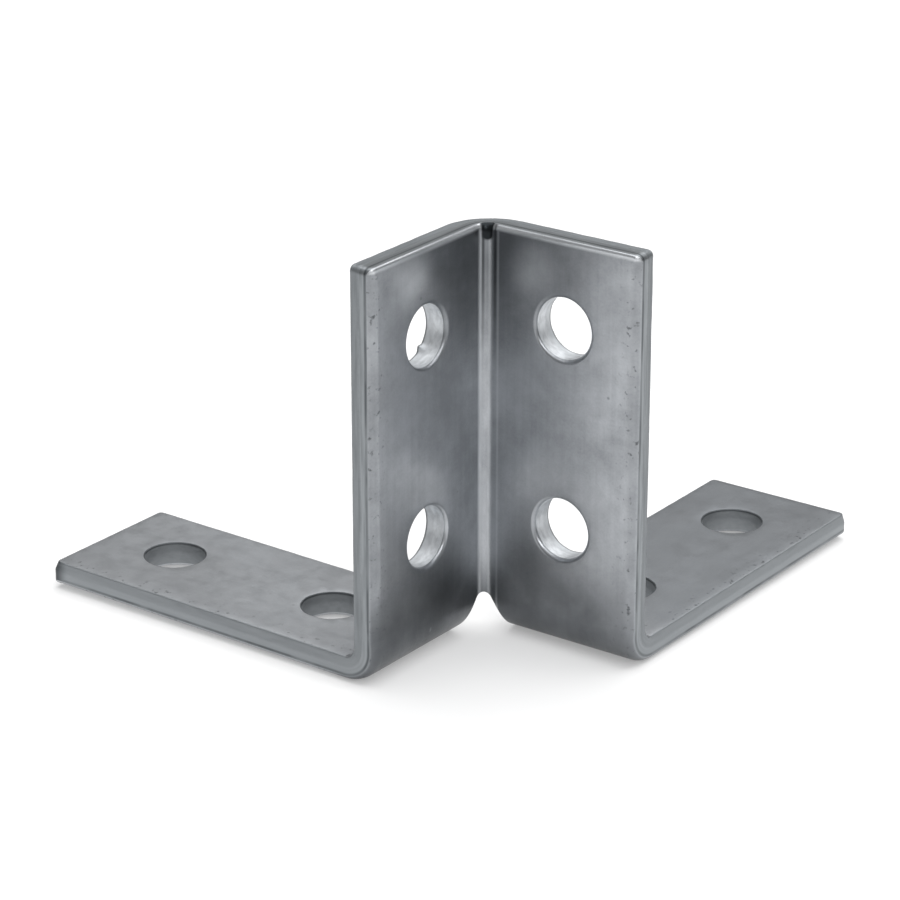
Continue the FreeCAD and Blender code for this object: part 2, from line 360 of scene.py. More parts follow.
@dataclass(frozen=True)
class Folds:
    """The three folds of the plate, and the few tenths of a millimetre that they squeeze it."""

    sizes: PlateSizes
    # Degrees by which the feet are bent past square.
    over_bend: float = 0.5
    # How far a punched edge draws in, and the bell curve's width over the fold's length.
    edge_draw: float = 0.25
    draw_width: float = 0.55

    def squeeze(self, across: Array, v: Array) -> Array:
        """Share of the plate's thickness that is left where the corner's back was eased.

        The back of the corner is an arc whose radius is larger than the inside radius and the
        thickness by the easing, and whose ends touch the backs of both uprights. The thickness is
        the distance to it along the fold's radius, and past the fold straight back from the face.

        Args:
            across: distance u from the corner's middle, without its sign.
            v: place down the blank.

        Returns:
            The thickness left, over the full thickness.
        """
        s = self.sizes
        big = s.outer_radius + s.easing
        turn = math.radians(135) + np.minimum(across, s.half) / s.neutral
        along = s.easing * (np.sin(turn) - np.cos(turn))
        radial = -along + np.sqrt(along**2 - 2 * s.easing**2 + big**2) - s.inner_radius
        past = np.minimum(across - s.half, s.easing) - s.easing
        straight = np.sqrt(big**2 - past**2) - (big - s.thickness)
        left = np.where(across < s.half, radial, straight) / s.thickness
        fade = np.clip(-v / s.easing, 0, 1)
        fade = fade * fade * (3 - 2 * fade)
        return 1 + (left - 1) * fade

    def draw(self, blank: Array) -> Array:
        """How far a punched edge draws in at a foot's fold, by depth.

        A fold stretches its outside, which draws in sideways, and crowds its inside, which swells.
        The amount is a bell curve along v over the fold, times the depth from the middle.

        Args:
            blank: points in blank coordinates.

        Returns:
            Distance inwards, from the plate's edge towards its middle.
        """
        s = self.sizes
        bell = np.exp(-(((blank[..., 1] - s.fold / 2) / (self.draw_width * s.fold)) ** 2))
        lean = 1 - 2 * blank[..., 2] / s.thickness
        return self.edge_draw * bell * np.where(lean > 0, lean, lean * np.abs(lean))

    def place(self, blank: Array) -> Array:
        """Fold points of the blank into the bracket.

        Across the corner a point turns about the inside radius's centre by u over the neutral
        radius, up to an eighth turn, and then runs straight. Down the plate it runs straight, turns
        about the foot's centre by v over the neutral radius, and runs straight again, bent a hair
        past square. The right half is the left half's mirror image.

        Args:
            blank: points (u, v, d) in millimetres.

        Returns:
            Points in the row frame, in metres.
        """
        s = self.sizes
        u, v, d = blank[:, 0], blank[:, 1], blank[:, 2]
        across = np.abs(u)
        depth = d * self.squeeze(across, v)
        full = math.radians(90 + self.over_bend)
        turn = np.clip(v / s.fold, 0, 1) * full
        beyond = np.maximum(v - s.fold, 0)
        radius = s.outer_radius - depth
        out = s.outer_radius - radius * np.cos(turn) + beyond * np.sin(turn)
        up = s.outer_radius - radius * np.sin(turn) - beyond * np.cos(turn) + np.maximum(-v, 0)
        swing = math.radians(135) + np.minimum(across, s.half) / s.neutral
        x = s.inner_radius + (s.inner_radius + out) * np.cos(swing)
        y = -s.inner_radius + (s.inner_radius + out) * np.sin(swing)
        y = y - np.maximum(across - s.half, 0)
        right = u > 0
        x, y = np.where(right, -y, x), np.where(right, -x, y)
        return np.stack([x + s.shift, y - s.shift, up], axis=1) * MM


@dataclass(frozen=True)
class PunchedRim:
    """Section through an edge that a punch has cut, carried along the edge's closed path.

    From the face that the punch enters, the plate is rolled over in a quarter ellipse, then has a
    smooth burnished land, and then tears away in a slight taper. The edge on the face that the
    punch leaves was tumbled round.
    """

    land_end: float
    # How rough the tear is and how far the land's end wanders.
    grain: float = 0.02
    land_wander: float = 0.25
    # Over how many points of the path the land's end and the tear wander.
    land_reach: float = 3.0
    tear_reach: float = 2.0
    roll_rows: int = 10
    land_rows: int = 4
    tear_rows: int = 6
    tumbled: float = 0.35
    tumbled_rows: int = 5

    def strip(
        self,
        path: Array,
        rolls: tuple[Array, Array],
        leans: Array,
        thickness: float,
        rng: np.random.Generator,
    ) -> Array:
        """Carry the section along a path.

        Row by row the section gives an inset along the path's inward normal and a depth: the roll
        is width (1 - sin t) and depth (1 - cos t) for t over a quarter turn, the land keeps the
        inset at 0, and the tear draws in by the lean times its share to the power 1.3, with seeded
        roughness that fades towards the land. A quarter circle of the tumbled radius ends it.

        Args:
            path: closed path (u, v) with the plate on its left.
            rolls: width and depth of the roll at each point.
            leans: how far the tear draws in at each point.
            thickness: plate thickness.
            rng: seeded source of the roughness.

        Returns:
            Points (rows, path, 3) in blank coordinates.
        """
        count = len(path)
        land = self.land_end + self.land_wander * wander(rng, count, self.land_reach)
        t = np.linspace(0, math.pi / 2, self.roll_rows)[:, None]
        down = np.linspace(0, 1, self.land_rows + 1)[1:, None]
        torn = np.linspace(0, 1, self.tear_rows + 1)[1:, None]
        turn = np.linspace(0, math.pi / 2, self.tumbled_rows + 1)[1:, None]
        width, start = rolls
        floor = thickness - self.tumbled
        rough = [wander(rng, count, self.tear_reach) for _ in range(self.tear_rows)]
        rough = self.grain * np.abs(rough + np.roll(rough, 1, axis=0))
        rough = rough * np.minimum(3 * torn, 1)
        inset = [width * (1 - np.sin(t)), np.zeros((self.land_rows, count))]
        inset += [leans * torn**1.3 + rough]
        inset += [leans + rough[-1] + self.tumbled * (1 - np.cos(turn))]
        depth = [start * (1 - np.cos(t)), start + (land - start) * down]
        depth += [land + (floor - land) * torn, floor + self.tumbled * np.sin(turn) + 0 * land]
        flat = path[None] - outward(path)[None] * np.concatenate(inset)[..., None]
        return np.concatenate([flat, np.concatenate(depth)[..., None]], axis=2)


@dataclass(frozen=True)
class Plating:
    """Zinc plating with a pattern over the plate's place in the blank.

    Masks run from 0 to 1, and their places and widths are in millimetres.
    """

    def bell(
        self, tree: bpy.types.NodeTree, value: Socket, middle: float, half: float
    ) -> Socket:
        """Mask of a line across the pattern: 1 on its middle, 0 past its half width.

        Args:
            tree: node tree that gets the nodes.
            value: coordinate across the line, in metres.
            middle: place of the line's middle.
            half: half its width.

        Returns:
            The mask.
        """
        off = add_node(tree, "Math", (value, middle * MM), SUBTRACT)[0]
        near = add_node(tree, "Math", (off,), ABSOLUTE)[0]
        return add_node(tree, "MapRange", (near, 0.0, half * MM, 1.0, 0.0), SMOOTH)[0]

    def slope(
        self, tree: bpy.types.NodeTree, value: Socket, start: float, stop: float
    ) -> Socket:
        """Mask that rises from 0 at one place to 1 at another.

        Args:
            tree: node tree that gets the nodes.
            value: coordinate in metres.
            start: where the mask is 0.
            stop: where the mask is 1, on either side.

        Returns:
            The mask.
        """
        span = (min(start, stop) * MM, max(start, stop) * MM)
        ends = (0.0, 1.0) if start < stop else (1.0, 0.0)
        return add_node(tree, "MapRange", (value, *span, *ends), SMOOTH)[0]

    def joined(
        self, tree: bpy.types.NodeTree, how: dict[str, str], *masks: Socket | float
    ) -> Socket:
        """Join masks one after another, by their product or by the strongest."""
        return reduce(lambda mask, other: add_node(tree, "Math", (mask, other), how)[0], masks)


@dataclass(frozen=True)
class RolledZinc(Plating):
    """Hot-rolled steel face under a light coat of electroplated zinc.

    To the eye it is a soft grey with a satin sheen and cloudy patches a few centimetres wide.
    Shade is painted darker deep in the post's corner, most at its top, and where the uprights turn
    into the feet, with patches of painted light above the bolt holes. Painted highlights run along
    the corner's fold.
    """

    # Places v of the uprights' top and the end of the feet's folds, places u of the corner's fold's
    # end and a wing's free edge, and the dimple's half width and middle.
    top_mm: float
    fold_mm: float
    half_mm: float
    side_mm: float
    dimple_mm: tuple[float, float]
    name: str = "electro_zinc_plated_rolled_steel"
    pale: str = "#b3b6ba"
    dull: str = "#989b9f"
    # Tone of the painted shade in the corner and along the feet's folds.
    painted_shade: str = "#56595c"
    # Dark scale, and painted shade in the lines beside the fold and in the dimple.
    scale_and_shade: str = "#26292b"
    # Painted highlights, painted light in the pale patches, and the left foot's paler coat.
    pale_and_highlight: str = "#d2d5d8"
    fleck: str = "#7c8083"
    blotched: str = "#84888c"
    # Roughness where the zinc is pale and where it is dull.
    roughness: tuple[float, float] = (0.30, 0.42)
    cloud_mm: float = 26.0
    mottle_mm: float = 4.5
    streak_mm: float = 1.3
    grain_mm: float = 0.55
    fleck_mm: float = 12.0
    speck_mm: float = 1.4
    scratch_mm: float = 4.0
    ripple_mm: float = 14.0
    # The rolling direction runs down the blank, so streaks are this many times as long as wide.
    # Scratches are shorter and lie aslant, by an angle in radians.
    drawn_out: float = 30.0
    scratch_length: float = 12.0
    scratch_turn: float = 0.6
    # Values of their noise between which clouds, specks and blotches set in, and the value that
    # a scratch follows, with half its width.
    cloud_fade: tuple[float, float] = (0.32, 0.68)
    speck_fade: tuple[float, float] = (0.62, 0.74)
    blotch_fade: tuple[float, float] = (0.38, 0.74)
    scratch_line: tuple[float, float] = (0.64, 0.005)
    # Where a fleck begins and ends to fade, in its cell's size, and its strength.
    fleck_fade: tuple[float, float, float] = (0.02, 0.045, 0.8)
    # How far streaks, mottle and grain move the colour between dull and pale.
    shifts: tuple[float, float, float] = (0.12, 0.20, 0.12)
    # Height of ripple, streaks, grain and scratches. The plate is wavy by hundredths of a
    # millimetre, and its grain is a few microns deep, drawn here about twice as coarse and as deep
    # as it is, so that it shows.
    heights_mm: tuple[float, float, float, float] = (0.22, 0.010, 0.022, -0.008)
    # Distances from a free edge between which the specks set in, the distance over which a foot's
    # coat sets in past its fold, and half the one over which the left foot's turns to the right's.
    edge_zone: tuple[float, float] = (7.0, 1.0)
    foot_zone: float = 12.0
    middle_zone: float = 5.0
    # Where the painted shade begins and is complete. At the corner's top: across, and down from
    # the top. Along the feet's folds, widely and then closely: across, and place v. On the rolled
    # edge, where the face is darker: from the free edge. Deep in the corner: across.
    top_zone: tuple[tuple[float, float], ...] = ((46.0, 8.0), (40.0, 3.0))
    wide_zone: tuple[tuple[float, float], ...] = ((70.0, 30.0), (-22.0, -3.0))
    close_zone: tuple[tuple[float, float], ...] = ((58.0, 36.0), (-14.0, 2.0))
    rolled_zone: tuple[float, float] = (2.9, 1.2)
    deep_zone: tuple[float, float] = (9.0, 3.0)
    # How far past the folds it ends on the feet, and where the corner is spared, with the share
    # that it keeps there.
    past_fold: float = 8.0
    spared_zone: tuple[float, float] = (2.0, 17.0)
    spared_share: float = 0.1
    # Strength of the painted shade at the corner's top and along the feet's folds, of the darker
    # rolled edge, and of the painted shade deep in the corner; and its strength along the folds on
    # the right, when the left has 1, and half the distance over which the left turns to the right.
    painted_shade_shares: tuple[float, float, float, float] = (0.8, 0.9, 0.3, 0.05)
    right_share: float = 0.85
    shade_by_side_zone: float = 8.0
    # Strength of the specks, of the blotches, and of the left foot's paler and the right foot's
    # duller coat.
    speck_share: float = 0.7
    blotch_share: float = 0.3
    foot_shares: tuple[float, float] = (0.36, 0.50)
    # Patches of painted light above the uprights' bolt holes: place (u, v) and strength of each.
    patches: tuple[tuple[float, float, float], ...] = (
        (-28.0, -85.0, 0.60),
        (14.5, -82.0, 0.55),
        (-23.0, -34.0, 0.40),
        (17.5, -34.0, 0.40),
    )
    # Where a patch begins and ends to fade, and how much it brightens the zinc.
    patch_fade: tuple[float, float] = (1.5, 9.5)
    patch_share: float = 0.3
    # Depths where the face against the post ends, and where the one under the bolt heads begins.
    front: tuple[float, float] = (1.9, 0.8)
    back: tuple[float, float] = (3.0, 4.0)

    def painted_shade_places(
        self, tree: bpy.types.NodeTree, parts: tuple[Socket, ...], clouds: Socket
    ) -> Socket:
        """Mask of the painted shade, and of the darker rolled edge.

        Args:
            tree: node tree that gets the nodes.
            parts: place (u, v, d) in the blank.
            clouds: large noise that breaks the mask's edge.

        Returns:
            The mask.
        """
        u, v, d = parts
        across = add_node(tree, "Math", (u,), ABSOLUTE)[0]
        foot = self.slope(tree, v, self.fold_mm + self.past_fold, self.fold_mm)
        # Along the feet's folds the corner is spared, and the right upright has less painted shade.
        start, stop = (place * MM for place in self.spared_zone)
        away = (across, start, stop, self.spared_share, 1.0)
        away = add_node(tree, "MapRange", away, SMOOTH)[0]
        shade_by_side = (u, -self.shade_by_side_zone * MM, self.shade_by_side_zone * MM, 1.0, self.right_share)
        shade_by_side = add_node(tree, "MapRange", shade_by_side)[0]
        high_share, bottom_share, rolled_share, deep_share = self.painted_shade_shares
        zones = (
            # Painted shade at the corner's top.
            (
                self.slope(tree, across, *self.top_zone[0]),
                self.slope(tree, v, *(self.top_mm + down for down in self.top_zone[1])),
                high_share,
            ),
            # Painted shade along the feet's folds, widely and closely.
            (
                self.slope(tree, v, *self.wide_zone[1]),
                foot,
                self.slope(tree, across, *self.wide_zone[0]),
                away,
                shade_by_side,
            ),
            (
                self.slope(tree, v, *self.close_zone[1]),
                foot,
                self.slope(tree, across, *self.close_zone[0]),
                bottom_share,
            ),
            # Darker on the rolled edge, and painted shade deep in the corner.
            (
                self.slope(tree, across, *(self.side_mm - away for away in self.rolled_zone)),
                rolled_share,
            ),
            (self.slope(tree, across, *self.deep_zone), deep_share),
        )
        masks = [self.joined(tree, MULTIPLY, *zone) for zone in zones]
        widest = self.joined(tree, MAXIMUM, *masks)
        broken = add_node(tree, "MapRange", (clouds, 0.3, 0.7, 1.1, 0.8))[0]
        return self.joined(tree, MULTIPLY, widest, self.slope(tree, d, *self.front), broken)

    def painted_highlight_and_shade(
        self, tree: bpy.types.NodeTree, parts: tuple[Socket, ...]
    ) -> tuple[Socket, Socket, Socket]:
        """Masks of the painted highlights and painted shade along the fold and the top edge.

        Painted highlights run along the corner's fold and the rolled top edge, and painted shade in
        dark lines beside the fold that fade downwards. The fold's crowding pressed a dimple into
        the face at the corner's top, and its shade is painted dark.

        Args:
            tree: node tree that gets the nodes.
            parts: place (u, v, d) in the blank.

        Returns:
            The masks of the painted highlights, the painted dark lines and the dimple's painted
            shade.
        """
        u, v, d = parts
        front = self.slope(tree, d, *self.front)
        fading = self.slope(tree, v, self.top_mm + 36.0, self.top_mm + 6.0)
        # Middle, half width and strength of each painted line along the corner's fold.
        bright_lines = (
            (-2.3, 1.5, 0.8),
            (self.half_mm - 1.2, 1.4, 0.35),
            (self.half_mm + 1.35, 0.5, 0.4),
        )
        dark_lines = ((-0.7, 1.2, 0.75), (self.half_mm + 0.55, 0.6, 0.7))
        bright, dark = (
            [
                self.joined(tree, MULTIPLY, self.bell(tree, u, middle, half), share, *fade)
                for middle, half, share in lines
            ]
            for lines, fade in ((bright_lines, ()), (dark_lines, (fading,)))
        )
        # A painted highlight along the rolled top edge.
        bright.append(self.bell(tree, v, self.top_mm + 0.7, 0.9))
        half_dimple, shift = self.dimple_mm
        # The dimple's painted shade.
        dimple = self.joined(
            tree,
            MULTIPLY,
            self.bell(tree, u, shift, half_dimple + 1.2),
            self.slope(tree, v, self.top_mm + 4.4, self.top_mm + 2.4),
            self.slope(tree, d, 2.2, 1.2),
        )
        bright, dark = (
            self.joined(tree, MULTIPLY, self.joined(tree, MAXIMUM, *masks), front)
            for masks in (bright, dark)
        )
        return bright, dark, add_node(tree, "MapRange", (dimple, 0.1, 0.45, 0.0, 1.0))[0]

    def patch(
        self, tree: bpy.types.NodeTree, at: Socket, place: tuple[float, float, float]
    ) -> Socket:
        """Mask of one soft patch of painted light on the face against the post.

        Args:
            tree: node tree that gets the nodes.
            at: place in the blank.
            place: where the patch is (u, v) and how strong.

        Returns:
            The mask.
        """
        u, v, share = place
        middle, (start, stop) = (u * MM, v * MM, 0.0), self.patch_fade
        far = add_node(tree, "VectorMath", (at, middle), {"operation": "DISTANCE"})["Value"]
        return add_node(tree, "MapRange", (far, start * MM, stop * MM, share, 0.0), SMOOTH)[0]

    def material(self) -> bpy.types.Material:
        """Build the finish as nodes over the blank's coordinates.

        Returns:
            The material.
        """
        material, tree = empty_material(self.name)
        at = add_node(tree, "Attribute", {}, {"attribute_name": "blank"})["Vector"]
        parts = tuple(add_node(tree, "SeparateXYZ", (at,)))
        u, v, d = parts
        streak, scratch = 1 / self.drawn_out, 1 / self.scratch_length
        drawn = add_node(tree, "Mapping", {"Vector": at, "Scale": (1.0, streak, 1.0)})[0]
        aslant = (0.0, 0.0, self.scratch_turn)
        turned = {"Vector": at, "Rotation": aslant, "Scale": (1.0, scratch, 1.0)}
        turned = add_node(tree, "Mapping", turned)[0]
        # Place, size, detail and roughness of each noise.
        clouds, streaks, mottle, grain, ripple, specks, lines = (
            add_node(
                tree,
                "TexNoise",
                {"Vector": place, "Scale": per_size(size), "Detail": detail, "Roughness": rough},
            )["Fac"]
            for place, size, detail, rough in (
                (at, self.cloud_mm, 4.0, 0.6),
                (drawn, self.streak_mm, 3.0, 0.5),
                (at, self.mottle_mm, 3.0, 0.65),
                (at, self.grain_mm, 2.0, 0.6),
                (at, self.ripple_mm, 1.0, 0.5),
                (at, self.speck_mm, 2.0, 0.5),
                (turned, self.scratch_mm, 1.0, 0.5),
            )
        )
        # Pits and dirt: small round flecks, one in each cell.
        cells = add_node(tree, "TexVoronoi", {"Vector": at, "Scale": per_size(self.fleck_mm)})
        flecks = add_node(tree, "MapRange", (cells["Distance"], *self.fleck_fade, 0.0))[0]
        # Handling scratches: thin bright lines where the long, turned noise crosses a value.
        level, half = self.scratch_line
        off_line = add_node(tree, "Math", (lines, level), SUBTRACT)[0]
        near_line = add_node(tree, "Math", (off_line,), ABSOLUTE)[0]
        scratches = add_node(tree, "MapRange", (near_line, 0.0, half, 1.0, 0.0))[0]
        share = add_node(tree, "MapRange", (clouds, *self.cloud_fade, 0.0, 1.0))[0]
        for noise, reach in zip((streaks, mottle, grain), self.shifts):
            shift = add_node(tree, "MapRange", (noise, 0.3, 0.7, -reach, reach))[0]
            share = add_node(tree, "Math", (share, shift), ADD_CLAMPED)[0]
        # Painted highlights along the fold and the top edge, painted shade beside it and in the
        # dimple.
        bright, dark, dimple = self.painted_highlight_and_shade(tree, parts)
        # Painted shade in the corner and along the feet's folds.
        painted_shade = self.painted_shade_places(tree, parts, clouds)
        # Patches of painted light, which spare the painted shade.
        patches = [self.patch(tree, at, place) for place in self.patches]
        for patch in patches:
            spared = add_node(tree, "Math", (1.0, patch), SUBTRACT)[0]
            painted_shade = self.joined(tree, MULTIPLY, painted_shade, spared)
        blotch = (mottle, *self.blotch_fade, 0.0, self.blotch_share)
        blotch = add_node(tree, "MapRange", blotch)[0]
        dirt = (specks, *self.speck_fade, 0.0, self.speck_share)
        dirt = add_node(tree, "MapRange", dirt)[0]
        across = add_node(tree, "Math", (u,), ABSOLUTE)[0]
        near_edge = self.slope(tree, across, *(self.side_mm - away for away in self.edge_zone))
        on_foot = self.slope(tree, v, self.fold_mm, self.fold_mm + self.foot_zone)
        left = self.slope(tree, u, self.middle_zone, -self.middle_zone)
        right = self.slope(tree, u, -self.middle_zone, self.middle_zone)
        layers = (
            # The left foot took more zinc than the right one.
            ((on_foot, left, self.foot_shares[0]), self.pale_and_highlight),
            ((on_foot, right, self.foot_shares[1]), self.blotched),
            # The face under the bolt heads slid over the press's table.
            ((blotch, self.slope(tree, d, *self.back)), self.blotched),
            # Scale is stuck in the face along the sheared edges.
            ((dirt, near_edge), self.scale_and_shade),
            # Painted shade, spared under the patches of painted light.
            ((painted_shade,), self.painted_shade),
            *(((patch, self.patch_share), self.pale_and_highlight) for patch in patches),
            # Painted highlights, painted dark lines beside the fold, flecks, and the dimple's
            # painted shade.
            ((bright,), self.pale_and_highlight),
            ((dark,), self.scale_and_shade),
            ((flecks,), self.fleck),
            ((dimple,), self.scale_and_shade),
        )
        colour = {0: share, 6: linear(self.dull), 7: linear(self.pale)}
        colour = add_node(tree, "Mix", colour, COLOURS)[2]
        for masks, tone in layers:
            mask = self.joined(tree, MULTIPLY, *masks)
            colour = add_node(tree, "Mix", {0: mask, 6: colour, 7: linear(tone)}, COLOURS)[2]
        smoothest, roughest = self.roughness
        sheen = add_node(tree, "MapRange", (share, 0.0, 1.0, roughest, smoothest))[0]
        normal = {}
        for height, depth in zip((ripple, streaks, grain, scratches), self.heights_mm):
            bump = {"Height": height, "Strength": 1.0, "Distance": abs(depth) * MM, **normal}
            normal = {"Normal": add_node(tree, "Bump", bump, {"invert": depth < 0})[0]}
        metal = {"Base Color": colour, "Metallic": 1.0, "Roughness": sheen, **normal}
        shader = add_node(tree, "BsdfPrincipled", metal)[0]
        add_node(tree, "OutputMaterial", {"Surface": shader})
        return material


@dataclass(frozen=True)
class PunchedZinc(Plating):
    """Punched steel edge under a light coat of electroplated zinc.

    To the eye it is duller than the faces and banded along the edge: a narrow dark line where the
    roll ends, a smooth land, and a slightly rougher, darker tear. On the feet it has painted shade.
    """

    name: str = "electro_zinc_plated_punched_edge"
    # Places v of the uprights' top and the feet's ends.
    top_mm: float = -90.0
    end_mm: float = 95.0
    land: str = "#93979a"
    torn: str = "#8c9093"
    pit: str = "#7c8083"
    line: str = "#4a4e51"
    # What the land turns to on the feet as painted shade, how strongly, and over what distance.
    foot: str = "#8f9396"
    foot_share: float = 0.8
    foot_fade_mm: float = 8.0
    land_roughness: float = 0.38
    torn_roughness: float = 0.5
    line_mm: float = 1.75
    # Where the land ends, and how far past that the tear begins and is complete.
    land_end_mm: float = 3.4
    tear_start: tuple[float, float] = (0.3, 0.9)
    # How far the tear's noise moves the land's end.
    jag_mm: float = 1.0
    band_mm: float = 0.9
    tear_mm: float = 0.9
    # Values of the bands' noise between which the pits end, and of the gaps' noise between which
    # the dark line sets in, from its least share to all of it.
    pit_fade: tuple[float, float] = (0.32, 0.60)
    gap_fade: tuple[float, float] = (0.35, 0.6)
    gap_share: float = 0.4
    line_share: float = 0.8
    # Distance from the line's middle where it begins and ends to fade, size of its gaps, and how
    # far down from the top it is strongest.
    line_fade: tuple[float, float] = (0.1, 0.45)
    line_gap_mm: float = 9.0
    line_drop_mm: float = 30.0
    # Strength of the dark ring on the rounded edge of the side that the punch left, and its depths.
    rim_share: float = 0.0
    rim_mm: tuple[float, float] = (5.3, 5.7)
    # Distances from the left foot's end where its painted shade begins and is complete.
    shaded_end_mm: tuple[float, float] = (5.0, 0.8)
    band_depth_mm: float = 0.025
    tear_depth_mm: float = 0.05
    # The bands run this many times as far along the edge as across it.
    drawn_out: float = 16.0

    def material(self) -> bpy.types.Material:
        """Build the finish as nodes over the blank's coordinates.

        Returns:
            The material.
        """
        material, tree = empty_material(self.name)
        at = add_node(tree, "Attribute", {}, {"attribute_name": "blank"})["Vector"]
        u, v, d = add_node(tree, "SeparateXYZ", (at,))
        along = 1 / self.drawn_out
        drawn = add_node(tree, "Mapping", {"Vector": at, "Scale": (along, along, 1.0)})[0]
        # Place, size, detail and roughness of each noise.
        bands, tears, gaps = (
            add_node(
                tree,
                "TexNoise",
                {"Vector": place, "Scale": per_size(size), "Detail": detail, "Roughness": rough},
            )["Fac"]
            for place, size, detail, rough in (
                (drawn, self.band_mm, 3.0, 0.5),
                (at, self.tear_mm, 4.0, 0.6),
                (at, self.line_gap_mm, 2.0, 0.5),
            )
        )
        # The land's end wanders by about half a millimetre.
        jag = add_node(tree, "Math", (tears, self.jag_mm * MM, d), {"operation": "MULTIPLY_ADD"})[0]
        start, stop = ((self.land_end_mm + past) * MM for past in self.tear_start)
        torn = add_node(tree, "MapRange", (jag, start, stop, 0.0, 1.0))[0]
        shade = add_node(tree, "MapRange", (bands, *self.pit_fade, 0.0, 1.0))[0]
        # Painted shade on the feet's edges.
        foot = (v, 0.0, self.foot_fade_mm * MM, 0.0, self.foot_share)
        foot = add_node(tree, "MapRange", foot, SMOOTH)[0]
        rim = (d, self.rim_mm[0] * MM, self.rim_mm[1] * MM, 0.0, self.rim_share)
        rim = add_node(tree, "MapRange", rim, SMOOTH)[0]
        # The dark line at the roll's end is 0.8 mm wide, comes and goes along the edge, and is
        # strongest at the uprights' top.
        off_line = add_node(tree, "Math", (d, self.line_mm * MM), SUBTRACT)[0]
        near_line = add_node(tree, "Math", (off_line,), ABSOLUTE)[0]
        start, stop = self.line_fade
        line = add_node(tree, "MapRange", (near_line, start * MM, stop * MM, 1.0, 0.0))[0]
        least, most = self.gap_share * self.line_share, self.line_share
        strong = add_node(tree, "MapRange", (gaps, *self.gap_fade, least, most))[0]
        start, stop = self.top_mm * MM, (self.top_mm + self.line_drop_mm) * MM
        high = add_node(tree, "MapRange", (v, start, stop, most, 0.0))[0]
        line = self.joined(tree, MULTIPLY, line, self.joined(tree, MAXIMUM, strong, high))
        # Painted shade darkens the left foot's end.
        end = self.slope(tree, v, *(self.end_mm - away for away in self.shaded_end_mm))
        left = add_node(tree, "Math", (u, 0.0), {"operation": "LESS_THAN"})[0]
        dark = self.joined(tree, MAXIMUM, line, self.joined(tree, MULTIPLY, end, left))
        colour = {0: torn, 6: linear(self.land), 7: linear(self.torn)}
        colour = add_node(tree, "Mix", colour, COLOURS)[2]
        colour = add_node(tree, "Mix", {0: shade, 6: linear(self.pit), 7: colour}, COLOURS)[2]
        for mask, tone in ((foot, self.foot), (rim, self.line), (dark, self.line)):
            colour = add_node(tree, "Mix", {0: mask, 6: colour, 7: linear(tone)}, COLOURS)[2]
        sheen = (torn, 0.0, 1.0, self.land_roughness, self.torn_roughness)
        sheen = add_node(tree, "MapRange", sheen)[0]
        ripped = self.joined(tree, MULTIPLY, tears, torn)
        normal = {}
        for height, depth in ((bands, self.band_depth_mm), (ripped, self.tear_depth_mm)):
            bump = {"Height": height, "Strength": 1.0, "Distance": depth * MM, **normal}
            normal = {"Normal": add_node(tree, "Bump", bump)[0]}
        metal = {"Base Color": colour, "Metallic": 1.0, "Roughness": sheen, **normal}
        shader = add_node(tree, "BsdfPrincipled", metal)[0]
        add_node(tree, "OutputMaterial", {"Surface": shader})
        return material


